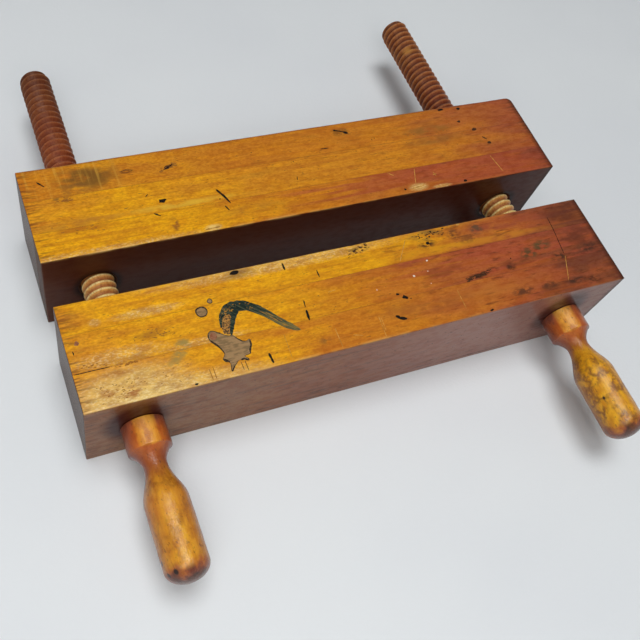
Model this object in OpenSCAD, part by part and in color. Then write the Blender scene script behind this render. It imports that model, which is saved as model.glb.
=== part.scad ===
// Bookbinding finishing press: two laminated maple jaws drawn together by two wooden screws.
//
// The press stands on the bench plane z = 0 with +Z up. +X runs along the jaws, and +Y along the
// screws from their handles to their tips. The origin is the middle of the back jaw's underside.
// The back jaw is tapped, the front jaw is bored clear, and a collar on each screw pushes the
// front jaw towards the back one. Each jaw is glued up from three boards.

/* [Jaws] */
// Length of both jaws
jaw_length = 457.2; // [420:0.1:520]
// Height of both jaws
jaw_height = 85.7; // [60:0.1:110]
// Thickness of the board on each jaw's clamping side
inner_board = 25.4; // [18:0.1:36]
// Thickness of the board in the middle of each jaw
middle_board = 30.1; // [18:0.1:42]
// Thickness of the board on each jaw's outer side
outer_board = 30.2; // [18:0.1:42]
// Radius that the jaws' edges are eased to
arris = 1.6; // [0.5:0.1:4]
// Opening between the jaws at rest
jaw_gap = 37.6; // [12:0.1:60]

/* [Screws] */
// Distance from each end of the jaws to the nearer screw's axis
screw_inset = 41.7; // [25:0.1:70]
// Diameter over the crests of the thread
crest_diameter = 26.7; // [24:0.1:34]
// Travel of the front jaw for one turn
pitch = 6.35; // [5:0.05:8]
// Depth of the thread from crest to root
thread_depth = 2.4; // [1.2:0.1:3]
// Width of the flat that is left on the crest
crest_flat = 1.3; // [0.8:0.05:2]
// How much thicker the plain journal is than the thread, on the radius
journal_step = 0.2; // [0.1:0.05:1]
// Length of thread that lies inside the front jaw
thread_run_in = 9.5; // [4:0.5:20]
// How far the left screw stands out behind the back jaw
left_tail = 137; // [60:0.5:180]
// How far the right screw stands out behind the back jaw
right_tail = 149; // [60:0.5:180]
// Length of the rounded tip
tip_length = 6; // [3:0.5:10]
// How far the tip's rounding draws in the radius
tip_drop = 4; // [3:0.1:6]
// Facets in one turn of thread
thread_sides = 18; // [14:1:20]

/* [Handles] */
// How far the collar reaches past the bore that it bears round, on the radius
collar_lip = 2.6; // [1.5:0.1:6]
// Length of the collar
collar_length = 21.5; // [12:0.5:30]
// Radius of the collar's edge towards the neck
collar_round = 1.2; // [0.5:0.1:3]
// Chamfer of the collar's edge at the jaw
collar_ease = 0.4; // [0.2:0.1:1]
// Diameter of the neck between the collar and the grip
neck_diameter = 17.6; // [14:0.1:24]
// Length of the cove between the collar and the thinnest part of the neck
cove_length = 12; // [6:0.5:20]
// Diameter of the grip
grip_diameter = 32.8; // [28:0.1:42]
// Length over which the neck swells to the grip
swell_length = 28.5; // [15:0.5:45]
// Length of the straight part of the grip
grip_length = 44; // [20:0.5:70]
// Length of the domed end of the handle
dome_length = 12; // [6:0.5:20]

/* [Clearances] */
// Gap between the journal and the bore of the front jaw, on the radius
journal_clearance = 0.4; // [0.2:0.05:0.8]
// Gap between the screw's thread and the tapped thread, on the radius
thread_clearance = 0.6; // [0.45:0.05:0.9]
// Gap between the collar and the front jaw
collar_gap = 0.3; // [0.1:0.05:0.8]
// Width of the countersink where a hole opens to the gap or behind the back jaw
mouth_ease = 1.6; // [0.5:0.1:3]

/* [Hidden] */
$fn = 96;

// Curve steps along each turned stretch of a handle
curve_steps = 10;
// Overrun of a cutting solid past the face that it cuts
overrun = 1;
// Shortest edge that a thread's cut end may leave
least_edge = 0.02;

jaw_width = inner_board + middle_board + outer_board;
axis_z = jaw_height / 2;
left_x = -jaw_length / 2 + screw_inset;
right_x = -left_x;

// Faces of the jaws across the press, from the handles to the tips
back_outer_y = jaw_width / 2;
back_inner_y = back_outer_y - jaw_width;
front_inner_y = back_inner_y - jaw_gap;
front_outer_y = front_inner_y - jaw_width;
collar_y = front_outer_y - collar_gap;
thread_start_y = front_inner_y - thread_run_in;

// Each board's two faces, measured outwards from its jaw's clamping face
board_faces = [
    [0, inner_board],
    [inner_board, inner_board + middle_board],
    [inner_board + middle_board, jaw_width],
];
INNER = 0;
MIDDLE = 1;
OUTER = 2;

crest_radius = crest_diameter / 2;
root_radius = crest_radius - thread_depth;
journal_radius = crest_radius + journal_step;
bore_radius = journal_radius + journal_clearance;
collar_radius = bore_radius + collar_lip;

// Places of a thread's corners within one pitch: root, start of the crest, end of the crest
flank = (pitch - crest_flat) / 2;
corner_share = [0, flank / pitch, (flank + crest_flat) / pitch];
corners = len(corner_share);

function mix(a, b, t) = a + (b - a) * t;
function share(u) = u - floor(u);

// Thread geometry. Column k of a thread is the meridian at k facets round its axis, and corner m
// is the m-th corner of the helix along a column, so corner m of every column is one helical line.
function corner_z(m, k) =
    pitch * (floor(m / corners) + corner_share[m - corners * floor(m / corners)] + k / thread_sides);
function thread_radius(z, k, root, crest) =
    let (f = share(z / pitch - k / thread_sides), rise = corner_share[1], fall = corner_share[2])
    f < rise ? mix(root, crest, f / rise)
    : f < fall ? crest
    : mix(crest, root, (f - fall) / (1 - fall));
function first_corner(z, k) =
    let (u = z / pitch - k / thread_sides, f = share(u), m = corners * floor(u))
    f < corner_share[1] ? m + 1 : f < corner_share[2] ? m + 2 : m + corners;
function last_corner(z, k) =
    let (u = z / pitch - k / thread_sides, f = share(u), m = corners * floor(u))
    f > corner_share[2] ? m + 2 : f > corner_share[1] ? m + 1 : f > 0 ? m : m - 1;
function on_column(r, z, k) =
    let (a = 360 * k / thread_sides) [r * cos(a), r * sin(a), z];

// Right-hand helical thread along +Z, cut square at both ends. The phase of the helix is fixed to
// z = 0, so a screw and a nut that are drawn with this module are in mesh. trim(r, z) narrows or
// widens the thread at a tip or a mouth.
module thread(z_from, z_to, root, crest, trim) {
    sides = thread_sides;
    columns = [0 : sides - 1];
    first = [for (k = columns) first_corner(z_from + least_edge, k)];
    last = [for (k = columns) last_corner(z_to - least_edge, k)];
    start = [for (k = 0, n = 0; k < sides; n = n + last[k] - first[k] + 3, k = k + 1) n];

    points = [
        for (k = columns) each [
            on_column(trim(thread_radius(z_from, k, root, crest), z_from), z_from, k),
            for (m = [first[k] : last[k]])
                let (z = corner_z(m, k))
                on_column(trim(thread_radius(z, k, root, crest), z), z, k),
            on_column(trim(thread_radius(z_to, k, root, crest), z_to), z_to, k),
        ],
        [0, 0, z_from],
        [0, 0, z_to],
    ];
    low_centre = len(points) - 2;
    high_centre = len(points) - 1;

    // After a full turn the helix has climbed one pitch, so the corners count on from there
    function turned(k) = k == sides ? corners : 0;
    function low(k) = start[k % sides];
    function high(k) = start[k % sides] + last[k % sides] - first[k % sides] + 2;
    function first_of(k) = first[k % sides] - turned(k);
    function last_of(k) = last[k % sides] - turned(k);
    function at(k, m) = low(k) + 1 + m + turned(k) - first[k % sides];

    faces = [
        for (k = columns)
            let (j = k + 1, a = first_of(k), b = first_of(j), y = last_of(k), z = last_of(j))
            each [
                for (m = [a : min(y, z) - 1]) each [
                    [at(k, m), at(k, m + 1), at(j, m + 1)],
                    [at(k, m), at(j, m + 1), at(j, m)],
                ],
                [low(k), at(k, a), at(j, a)],
                if (b < a) [low(k), at(j, a), at(j, b)],
                [low(k), at(j, b), low(j)],
                if (z < y) [at(k, z), at(k, y), at(j, z)],
                [at(k, y), high(k), high(j)],
                [at(k, y), high(j), at(j, z)],
                [low(k), low(j), low_centre],
                [high(j), high(k), high_centre],
            ],
    ];
    polyhedron(points, faces);
}

// Lays a solid that was drawn along +Z on a screw's axis, where its z becomes the press's y
module on_screw_axis(x) {
    translate([x, 0, axis_z]) rotate([-90, 0, 0]) children();
}

// Rectangle about the origin with exact round corners
module eased_rectangle(width, height, radius) {
    square([width - 2 * radius, height], center = true);
    square([width, height - 2 * radius], center = true);
    for (x = [-1, 1], y = [-1, 1])
        translate([x * (width / 2 - radius), y * (height / 2 - radius)]) circle(radius);
}

// One glued-up jaw with every edge eased, about the middle of its width
module jaw_blank(centre_y) {
    translate([0, centre_y, axis_z]) intersection() {
        rotate([90, 0, 90])
            linear_extrude(jaw_length, center = true) eased_rectangle(jaw_width, jaw_height, arris);
        rotate([90, 0, 0])
            linear_extrude(jaw_width, center = true) eased_rectangle(jaw_length, jaw_height, arris);
        linear_extrude(jaw_height, center = true) eased_rectangle(jaw_length, jaw_width, arris);
    }
}

// The slice of a jaw that lies between two faces across the press
module jaw_slice(y_from, y_to) {
    length = jaw_length + 2 * overrun;
    height = jaw_height + 2 * overrun;
    translate([-length / 2, y_from, axis_z - height / 2]) cube([length, y_to - y_from, height]);
}

// A clear bore through the front jaw, sharp under the collar and countersunk on the clamping side
module journal_bore(x) {
    on_screw_axis(x) {
        translate([0, 0, front_outer_y - overrun])
            cylinder(r = bore_radius, h = jaw_width + 2 * overrun);
        translate([0, 0, front_inner_y - mouth_ease])
            cylinder(r1 = bore_radius, r2 = bore_radius + mouth_ease + overrun, h = mouth_ease + overrun);
    }
}

// A tapped hole through one board of the back jaw, opened out where it meets a face of the jaw
module tapped_hole(x, y_from, y_to) {
    mouth_radius = crest_radius + thread_clearance + mouth_ease;
    function opened(r, y) =
        max(r, mouth_radius + max(back_inner_y - y, y - back_outer_y));
    on_screw_axis(x)
        thread(
            y_from - overrun, y_to + overrun,
            root_radius + thread_clearance, crest_radius + thread_clearance,
            function (r, y) opened(r, y)
        );
}

module front_board(place) {
    y_to = front_inner_y - board_faces[place][0];
    y_from = front_inner_y - board_faces[place][1];
    difference() {
        intersection() {
            jaw_blank((front_inner_y + front_outer_y) / 2);
            jaw_slice(y_from, y_to);
        }
        journal_bore(left_x);
        journal_bore(right_x);
    }
}

module back_board(place) {
    y_from = back_inner_y + board_faces[place][0];
    y_to = back_inner_y + board_faces[place][1];
    difference() {
        intersection() {
            jaw_blank((back_inner_y + back_outer_y) / 2);
            jaw_slice(y_from, y_to);
        }
        tapped_hole(left_x, y_from, y_to);
        tapped_hole(right_x, y_from, y_to);
    }
}

// Outline of the turned handle, its collar and the journal: [radius, distance from the collar's face],
// where the handle lies at negative distances and the journal at positive ones
function turned_outline() =
    let (
        neck = neck_diameter / 2,
        grip = grip_diameter / 2,
        neck_place = collar_length + cove_length,
        grip_place = neck_place + swell_length,
        dome_place = grip_place + grip_length,
        journal_end = thread_start_y - collar_y
    )
    [
        [0, -dome_place - dome_length],
        // Domed end, a quarter of an ellipse
        for (i = [1 : curve_steps])
            let (a = 90 * i / curve_steps) [grip * sin(a), -dome_place - dome_length * cos(a)],
        // Grip, falling to the neck in an S
        for (i = [0 : curve_steps])
            let (t = i / curve_steps)
            [mix(grip, neck, (1 - cos(180 * t)) / 2), -mix(grip_place, neck_place, t)],
        // Cove, a parabola from the neck out to the collar
        for (i = [1 : curve_steps])
            let (t = i / curve_steps)
            [mix(neck, collar_radius - collar_round, t * t), -mix(neck_place, collar_length, t)],
        // Collar, rounded at its outer edge and nearly sharp where it bears on the jaw
        for (i = [1 : curve_steps])
            let (a = 90 * i / curve_steps)
            [collar_radius - collar_round * (1 - sin(a)), -collar_length + collar_round * (1 - cos(a))],
        [collar_radius, -collar_ease],
        [collar_radius - collar_ease, 0],
        [journal_radius, 0],
        [journal_radius, journal_end],
        [0, journal_end],
    ];

// One screw with its handle, collar, plain journal and thread, turned from a single blank
module handled_screw(x, tail) {
    tip_y = back_outer_y + tail;
    tip_start_y = tip_y - tip_length;
    function rounded_tip(r, y) =
        y < tip_start_y ? r
        : let (t = (y - tip_start_y) / tip_length)
          min(r, crest_radius - tip_drop * (1 - sqrt(max(0, 1 - t * t))));
    on_screw_axis(x) {
        translate([0, 0, collar_y]) rotate_extrude() polygon(turned_outline());
        thread(
            thread_start_y, tip_y, root_radius, crest_radius,
            function (r, y) rounded_tip(r, y)
        );
    }
}

module front_jaw_inner_board() { color("goldenrod") front_board(INNER); }
module front_jaw_middle_board() { color("peru") front_board(MIDDLE); }
module front_jaw_outer_board() { color("darkgoldenrod") front_board(OUTER); }
module back_jaw_inner_board() { color("chocolate") back_board(INNER); }
module back_jaw_middle_board() { color("goldenrod") back_board(MIDDLE); }
module back_jaw_outer_board() { color("peru") back_board(OUTER); }
module left_screw() { color("sienna") handled_screw(left_x, left_tail); }
module right_screw() { color("sienna") handled_screw(right_x, right_tail); }

front_jaw_inner_board();
front_jaw_middle_board();
front_jaw_outer_board();
back_jaw_inner_board();
back_jaw_middle_board();
back_jaw_outer_board();
left_screw();
right_screw();
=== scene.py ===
"""Looks of a wooden bookbinding finishing press: laminated jaws, turned screws, varnish and wear.

Lengths are in millimetres up to the point where a mesh or a node is made, and the frame is the
part's own: +X along the jaws, +Y along the screws away from the handles, +Z up from the bench.
"""
import math
import random
from functools import partial

import bmesh
import bpy
import numpy as np
from mathutils import Euler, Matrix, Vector, noise


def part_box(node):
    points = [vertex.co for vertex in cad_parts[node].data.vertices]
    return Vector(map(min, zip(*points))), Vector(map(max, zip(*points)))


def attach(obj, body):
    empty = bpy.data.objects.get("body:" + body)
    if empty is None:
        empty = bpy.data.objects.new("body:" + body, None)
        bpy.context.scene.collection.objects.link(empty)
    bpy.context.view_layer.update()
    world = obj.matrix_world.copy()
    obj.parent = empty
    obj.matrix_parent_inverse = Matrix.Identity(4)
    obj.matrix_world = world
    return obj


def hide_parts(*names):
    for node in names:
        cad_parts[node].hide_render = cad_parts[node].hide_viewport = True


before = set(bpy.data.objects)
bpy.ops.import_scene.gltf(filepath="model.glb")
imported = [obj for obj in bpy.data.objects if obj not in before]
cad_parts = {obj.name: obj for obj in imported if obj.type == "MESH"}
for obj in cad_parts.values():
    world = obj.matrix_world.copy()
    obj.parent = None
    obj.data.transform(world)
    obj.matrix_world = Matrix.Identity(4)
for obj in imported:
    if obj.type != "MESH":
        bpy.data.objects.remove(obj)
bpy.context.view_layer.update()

MM = 0.001

# Camera of the photograph: place in millimetres, turn in degrees, lens in pixels of a square image, and the
# pixel that it looks straight at, which lies off the middle because the photograph is cropped; a sensor of
# the usual width, and the nearest distance that is drawn
CAMERA_PLACE = (-266.7, -370.1, 564.3)
CAMERA_TURN = (27.81, -9.97, -20.2)
FOCAL_PIXELS = 770.2
IMAGE_CENTRE = (261, 360)
IMAGE_SIDE = 640
SENSOR_WIDTH = 36.0
NEAREST_SEEN = 10

FRONT_BOARDS = ("front_jaw_inner_board", "front_jaw_middle_board", "front_jaw_outer_board")
BACK_BOARDS = ("back_jaw_inner_board", "back_jaw_middle_board", "back_jaw_outer_board")
SCREWS = ("left_screw", "right_screw")


def box_mm(node):
    """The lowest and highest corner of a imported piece, in millimetres."""
    low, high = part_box(node)
    return np.array(low) / MM, np.array(high) / MM


# The jaws and the screws' axes, read from the frame
BOARD_BOX = {node: box_mm(node) for node in FRONT_BOARDS + BACK_BOARDS}
SCREW_BOX = {node: box_mm(node) for node in SCREWS}
AXIS_X = {node: (low[0] + high[0]) / 2 for node, (low, high) in SCREW_BOX.items()}
JAW_TOP = BOARD_BOX["front_jaw_inner_board"][1][2]
JAW_END = BOARD_BOX["front_jaw_inner_board"][1][0]
FRONT_FACE = BOARD_BOX["front_jaw_outer_board"][0][1]
FRONT_CLAMP_FACE = BOARD_BOX["front_jaw_inner_board"][1][1]
BACK_CLAMP_FACE = BOARD_BOX["back_jaw_inner_board"][0][1]
BACK_FACE = BOARD_BOX["back_jaw_outer_board"][1][1]
AXIS_HEIGHT = JAW_TOP / 2

# Sizes of the turned screws and their fits, as in the part's source
CREST_RADIUS = 13.35
THREAD_DEPTH = 2.4
PITCH = 6.35
CREST_FLAT = 1.3
JOURNAL_RADIUS = 13.55
BORE_RADIUS = 13.95
THREAD_CLEARANCE = 0.6
THREAD_RUN_IN = 9.5
TIP_LENGTH = 6.0
TIP_DROP = 4.0
COLLAR_GAP = 0.3
COLLAR_RADIUS = 16.55
COLLAR_LENGTH = 21.5
COLLAR_ROUND = 1.2
COLLAR_EASE = 0.4
NECK_RADIUS = 8.8
COVE_LENGTH = 12.0
GRIP_RADIUS = 16.4
SWELL_LENGTH = 28.5
GRIP_LENGTH = 44.0
DOME_LENGTH = 12.0
MOUTH_EASE = 1.6
COLLAR_FACE = FRONT_FACE - COLLAR_GAP
THREAD_START = FRONT_CLAMP_FACE - THREAD_RUN_IN

# Stains and paint lie in the top layer of the jaws, so that nothing stands above the part. They reach a
# little into the wood, and each outline of a film lies a hair above the one before, so that none share a face
FILM_LAYER = 0.12
FILM_ROOT = 0.03
FILM_STEP = 0.0002
WOOD_TOP = JAW_TOP - FILM_LAYER

# Edges at which a surface turns by more degrees than this stay sharp
SMOOTH_ANGLE = 40


def smoothstep(low, high, value):
    """0 below the low value, 1 above the high one, and a smooth rise between them."""
    t = min(1.0, max(0.0, (value - low) / (high - low)))
    return t * t * (3 - 2 * t)


def wander(x, y, z, size):
    """Smooth noise from -1 to 1 with features of about the given size in millimetres."""
    return noise.noise(Vector((x, y, z)) / size)


def new_object(name, vertices, faces, smooth_angle=SMOOTH_ANGLE):
    """A mesh object from millimetre points, smooth except across edges sharper than the angle."""
    mesh = bpy.data.meshes.new(name)
    mesh.from_pydata([tuple(MM * c for c in v) for v in vertices], [], faces)
    made = bpy.data.objects.new(name, mesh)
    bpy.context.scene.collection.objects.link(made)
    tidy_mesh(made, smooth_angle)
    return made


def tidy_mesh(made, smooth_angle):
    """Merges points that coincide, closes open ends, turns all faces outwards and sets the shading."""
    merge_distance = 0.004 * MM
    work = bmesh.new()
    work.from_mesh(made.data)
    bmesh.ops.remove_doubles(work, verts=work.verts, dist=merge_distance)
    bmesh.ops.dissolve_degenerate(work, edges=work.edges, dist=merge_distance)
    bmesh.ops.holes_fill(work, edges=[edge for edge in work.edges if edge.is_boundary], sides=0)
    bmesh.ops.recalc_face_normals(work, faces=work.faces)
    work.to_mesh(made.data)
    work.free()
    made.data.polygons.foreach_set("use_smooth", [True] * len(made.data.polygons))
    made.data.set_sharp_from_angle(angle=math.radians(smooth_angle))


# Boards: sharp blocks whose points are moved onto worn edges, then bored or tapped

# Spacing of a board's grid along X, Y and Z, and distances of the closer lines from a worn edge
BOARD_STEPS = (2.5, 6.0, 8.0)
EDGE_LINES = (0.0, 0.35, 0.75, 1.2, 1.8, 2.6, 4.0, 6.5)

# Rounding of a jaw's edges: mean and least radius, its slow change, and nicks, whose noise is shifted
ARRIS = 1.1
LEAST_ARRIS = 0.45
ARRIS_WEAR = 0.5
WEAR_SIZE = 45
NICK_DEPTH = 1.7
NICK_SIZE = 6.5
NICK_LEVEL = 0.42
NICK_SHIFT = 300
GLUE_EASE = 0.08

# Rubbed upper right corner of the back jaw: added radius at the top, and how far down it reaches
CORNER_WEAR = 6.5
CORNER_WEAR_DEPTH = 34.0


def grid_lines(low, high, step, fine_low, fine_high):
    """Places of grid lines from low to high, closer together near the ends that are marked fine."""
    inner_low = low + (EDGE_LINES[-1] if fine_low else 0)
    inner_high = high - (EDGE_LINES[-1] if fine_high else 0)
    count = max(1, round((inner_high - inner_low) / step))
    lines = [inner_low + (inner_high - inner_low) * i / count for i in range(count + 1)]
    if fine_low:
        lines = [low + d for d in EDGE_LINES[:-1]] + lines
    if fine_high:
        lines += [high - d for d in reversed(EDGE_LINES[:-1])]
    return lines


def eased(u, v, radius):
    """Distances from two faces that meet at an edge, drawn onto a round of the given radius."""
    if u < radius and v < radius:
        reach = math.hypot(radius - u, radius - v)
        if reach > radius:
            scale = radius / reach
            return radius - (radius - u) * scale, radius - (radius - v) * scale
    return u, v


def arris_radius(x, y, z):
    """Worn radius of a jaw's edge: a slow change of wear and a few sharp nicks."""
    nick = max(0.0, wander(x + NICK_SHIFT, y, z, NICK_SIZE) - NICK_LEVEL)
    return max(LEAST_ARRIS, ARRIS + ARRIS_WEAR * wander(x, y, z, WEAR_SIZE) + NICK_DEPTH * nick)


def worn_place(point, low, high, glued_low, glued_high, worn_corner):
    """A point of a sharp board, moved onto the eased and worn board."""
    x, y, z = point
    side = -1 if y < (low[1] + high[1]) / 2 else 1
    glued = glued_low if side < 0 else glued_high
    y_edge = low[1] if side < 0 else high[1]
    z_edge = low[2] if z < (low[2] + high[2]) / 2 else high[2]
    x_edge = low[0] if x < 0 else high[0]
    u, v, w = abs(x - x_edge), abs(y - y_edge), abs(z - z_edge)
    v, w = eased(v, w, GLUE_EASE if glued else arris_radius(x, y_edge, z_edge))
    u, w = eased(u, w, arris_radius(x_edge, y, z_edge))
    if not glued:
        upright = arris_radius(x_edge, y_edge, z)
        if worn_corner and x > 0 and side > 0:
            upright += CORNER_WEAR * smoothstep(high[2] - CORNER_WEAR_DEPTH, high[2], z)
        u, v = eased(u, v, upright)
    return x_edge + math.copysign(u, -x_edge), y_edge - side * v, z_edge + (w if z_edge == low[2] else -w)


def board_blank(node, glued_low, glued_high):
    """A closed board with worn edges, without its holes."""
    low, high = (corner.copy() for corner in BOARD_BOX[node])
    high[2] = WOOD_TOP
    worn = ((True, True), (not glued_low, not glued_high), (True, True))
    lines = [grid_lines(low[i], high[i], BOARD_STEPS[i], *worn[i]) for i in range(3)]
    ends = [len(line) - 1 for line in lines]
    worn_corner = node == "back_jaw_outer_board"
    number, points, faces = {}, [], []

    def at(index):
        if index not in number:
            number[index] = len(points)
            place = [lines[axis][index[axis]] for axis in range(3)]
            points.append(worn_place(place, low, high, glued_low, glued_high, worn_corner))
        return number[index]

    for axis in range(3):
        a, b = (axis + 1) % 3, (axis + 2) % 3
        for end in (0, ends[axis]):
            for i in range(ends[a]):
                for j in range(ends[b]):
                    corners = []
                    for da, db in ((0, 0), (1, 0), (1, 1), (0, 1)):
                        index = [0, 0, 0]
                        index[axis], index[a], index[b] = end, i + da, j + db
                        corners.append(at(tuple(index)))
                    faces.append(corners)
    return new_object(node + "_wood", points, faces)


def cut(board, cutters):
    """Cuts the cutters out of a board and keeps the result as the board's own mesh."""
    for cutter in cutters:
        step = board.modifiers.new("hole", "BOOLEAN")
        step.operation, step.solver, step.object = "DIFFERENCE", "EXACT", cutter
    result = bpy.data.meshes.new_from_object(board.evaluated_get(bpy.context.evaluated_depsgraph_get()))
    board.modifiers.clear()
    board.data = result
    tidy_mesh(board, SMOOTH_ANGLE)


# Screws: the thread's crest is slightly crowned and its flanks are slightly hollow

CROWN = 0.08
HOLLOW = 1.4

# The thread starts a little inside the journal and rises to its full depth over a length, and cutters run
# past the faces that they cut
THREAD_OVERLAP = 1.0
THREAD_FADE = 6.0
CUT_OVERRUN = 1.0

# Turned surfaces are out of round by up to this much, in lumps of a size, less towards the axis
OUT_OF_ROUND = 0.16
LUMP_SIZE = 14
LUMP_CIRCLE = 30
LUMP_FADE = 8


def thread_height(phase):
    """Height of the thread over one pitch, from 0 at the root to 1 at the middle of the crest."""
    from_crest = abs(phase % 1.0 - 0.5)
    half_flat = CREST_FLAT / PITCH / 2
    if from_crest < half_flat:
        return 1 - CROWN * (from_crest / half_flat) ** 2
    return (1 - CROWN) * ((0.5 - from_crest) / (0.5 - half_flat)) ** HOLLOW


def thread_radius(y, angle):
    """Radius of the right-hand thread; its phase is fixed to y = 0, where the tapped holes have it too."""
    return CREST_RADIUS - THREAD_DEPTH * (1 - thread_height(y / PITCH - angle / (2 * math.pi)))


def helical_solid(name, axis_x, y_from, y_to, radius_at, sides, rows):
    """A closed rod whose grid follows the thread, so that crests and roots lie along its edges."""
    first = (math.floor(y_from / PITCH) - 1) * rows
    last = (math.ceil(y_to / PITCH) + 1) * rows
    points, faces = [], []
    for row in range(first, last + 1):
        for side in range(sides):
            angle = 2 * math.pi * side / sides
            y = min(y_to, max(y_from, PITCH * (row / rows + side / sides)))
            r = radius_at(y, angle)
            points.append((axis_x + r * math.cos(angle), y, AXIS_HEIGHT - r * math.sin(angle)))
    count = last - first + 1
    for row in range(count - 1):
        for side in range(sides):
            # After a full turn the helix has climbed one pitch, so the rows count on from there
            beside, turned = (0, row + rows) if side == sides - 1 else (side + 1, row)
            if turned + 1 < count:
                faces.append((
                    row * sides + side, (row + 1) * sides + side,
                    (turned + 1) * sides + beside, turned * sides + beside,
                ))
    return new_object(name, points, faces, smooth_angle=60)


def turned_solid(name, axis_x, profile, sides=96):
    """A closed solid of revolution about a screw's axis from (y, radius, out-of-round) rings."""
    points, faces = [], []
    for y, radius, rough in profile:
        for side in range(sides):
            angle = 2 * math.pi * side / sides
            c, s = math.cos(angle), math.sin(angle)
            lump = wander(LUMP_CIRCLE * c + axis_x, y, LUMP_CIRCLE * s, LUMP_SIZE)
            r = radius + rough * min(1.0, radius / LUMP_FADE) * lump
            points.append((axis_x + r * c, y, AXIS_HEIGHT - r * s))
    for ring in range(len(profile) - 1):
        for side in range(sides):
            beside = (side + 1) % sides
            faces.append((
                ring * sides + side, (ring + 1) * sides + side,
                (ring + 1) * sides + beside, ring * sides + beside,
            ))
    return new_object(name, points, faces, smooth_angle=32)


def shares(count):
    """Equal steps from just above 0 up to 1."""
    return [i / count for i in range(1, count + 1)]


def handle_profile():
    """Rings of the handle, collar and journal, from the domed end to the start of the thread."""
    neck_place = COLLAR_LENGTH + COVE_LENGTH
    grip_place = neck_place + SWELL_LENGTH
    dome_place = grip_place + GRIP_LENGTH
    quarter = math.pi / 2
    rings = []
    for t in [0, *shares(18)]:
        height, radius = DOME_LENGTH * math.cos(quarter * t), GRIP_RADIUS * math.sin(quarter * t)
        rings.append((dome_place + height, radius))
    rings += [(grip_place + GRIP_LENGTH * (1 - t), GRIP_RADIUS) for t in shares(14)[:-1]]
    for t in [0, *shares(18)]:
        radius = GRIP_RADIUS + (NECK_RADIUS - GRIP_RADIUS) * (1 - math.cos(math.pi * t)) / 2
        rings.append((grip_place - SWELL_LENGTH * t, radius))
    for t in shares(14):
        radius = NECK_RADIUS + (COLLAR_RADIUS - COLLAR_ROUND - NECK_RADIUS) * t * t
        rings.append((neck_place - COVE_LENGTH * t, radius))
    for t in shares(8):
        radius = COLLAR_RADIUS - COLLAR_ROUND * (1 - math.sin(quarter * t))
        rings.append((COLLAR_LENGTH - COLLAR_ROUND * (1 - math.cos(quarter * t)), radius))
    straight = COLLAR_LENGTH - COLLAR_ROUND - COLLAR_EASE
    rings += [(COLLAR_EASE + straight * (1 - t), COLLAR_RADIUS) for t in shares(8)]
    rings.append((0, COLLAR_RADIUS - COLLAR_EASE))
    profile = [(COLLAR_FACE - s, radius, OUT_OF_ROUND) for s, radius in rings]
    journal = THREAD_START - COLLAR_FACE
    return profile + [(COLLAR_FACE + journal * t, JOURNAL_RADIUS, 0.0) for t in [0, *shares(6)]]


def screw_thread(node):
    """The threaded shank, faded into the journal and rounded at its tip."""
    tip = SCREW_BOX[node][1][1]
    start = THREAD_START - THREAD_OVERLAP

    def radius_at(y, angle):
        grown_in = smoothstep(start, start + THREAD_FADE, y)
        full = CREST_RADIUS + (thread_radius(y, angle) - CREST_RADIUS) * grown_in
        t = max(0.0, 1 - (tip - y) / TIP_LENGTH)
        return min(full, CREST_RADIUS - TIP_DROP * (1 - math.sqrt(max(0.0, 1 - t * t))))

    return helical_solid(node + "_thread", AXIS_X[node], start, tip, radius_at, sides=64, rows=12)


def tapped_hole(axis_x):
    """Cutter for a tapped hole through the back jaw, opened out at both faces."""
    start, stop = BACK_CLAMP_FACE - CUT_OVERRUN, BACK_FACE + CUT_OVERRUN
    mouth = CREST_RADIUS + THREAD_CLEARANCE + MOUTH_EASE

    def radius_at(y, angle):
        opened = mouth + max(BACK_CLAMP_FACE - y, y - BACK_FACE)
        return max(thread_radius(y, angle) + THREAD_CLEARANCE, opened)

    return helical_solid("tap", axis_x, start, stop, radius_at, sides=40, rows=6)


def journal_bore(axis_x):
    """Cutter for a clear bore through the front jaw, countersunk on the clamping side."""
    start, stop = FRONT_FACE - CUT_OVERRUN, FRONT_CLAMP_FACE + CUT_OVERRUN
    return turned_solid("bore", axis_x, [
        (start, 0, 0),
        (start, BORE_RADIUS, 0),
        (FRONT_CLAMP_FACE - MOUTH_EASE, BORE_RADIUS, 0),
        (stop, BORE_RADIUS + MOUTH_EASE + CUT_OVERRUN, 0),
        (stop, 0, 0),
    ])


# Stains, paint and scratches: thin closed films in the top layer of a jaw

# Size of the notches in a ragged edge, corners of a blob, steps of a stroke, and waves of an uneven rim
RAGGED_SIZE = 2.2
BLOB_CORNERS = 9
STROKE_STEP = 1.5
RIM_SIZE = 5

# Between which shares of its size a blob, a stroke or a fleck changes; the raggedness of a blob as a share of
# its radius, the width of a stroke at its ends, and how far a fleck turns from the grain in degrees
BLOB_CHANGE = (0.72, 1.18)
BLOB_RAGGED = 0.12
STROKE_CHANGE = (0.65, 1.15)
STROKE_END = 0.45
FLECK_CHANGE = (0.5, 1.3)
FLECK_TURN = 15


def closed_curve(corners, ragged, seed, steps=6):
    """A smooth closed outline through the corners, with its edge made ragged by up to the given length."""
    count = len(corners)
    outline = []
    for i in range(count):
        p = [Vector(corners[(i + k) % count]) for k in (-1, 0, 1, 2)]
        for step in range(steps):
            t = step / steps
            point = 0.5 * (
                2 * p[1] + (p[2] - p[0]) * t + (2 * p[0] - 5 * p[1] + 4 * p[2] - p[3]) * t * t
                + (3 * p[1] - p[0] - 3 * p[2] + p[3]) * t ** 3
            )
            shift = Vector([wander(*point, layer, RAGGED_SIZE) for layer in (seed, seed + 50)])
            outline.append(point + ragged * shift)
    return outline


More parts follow.
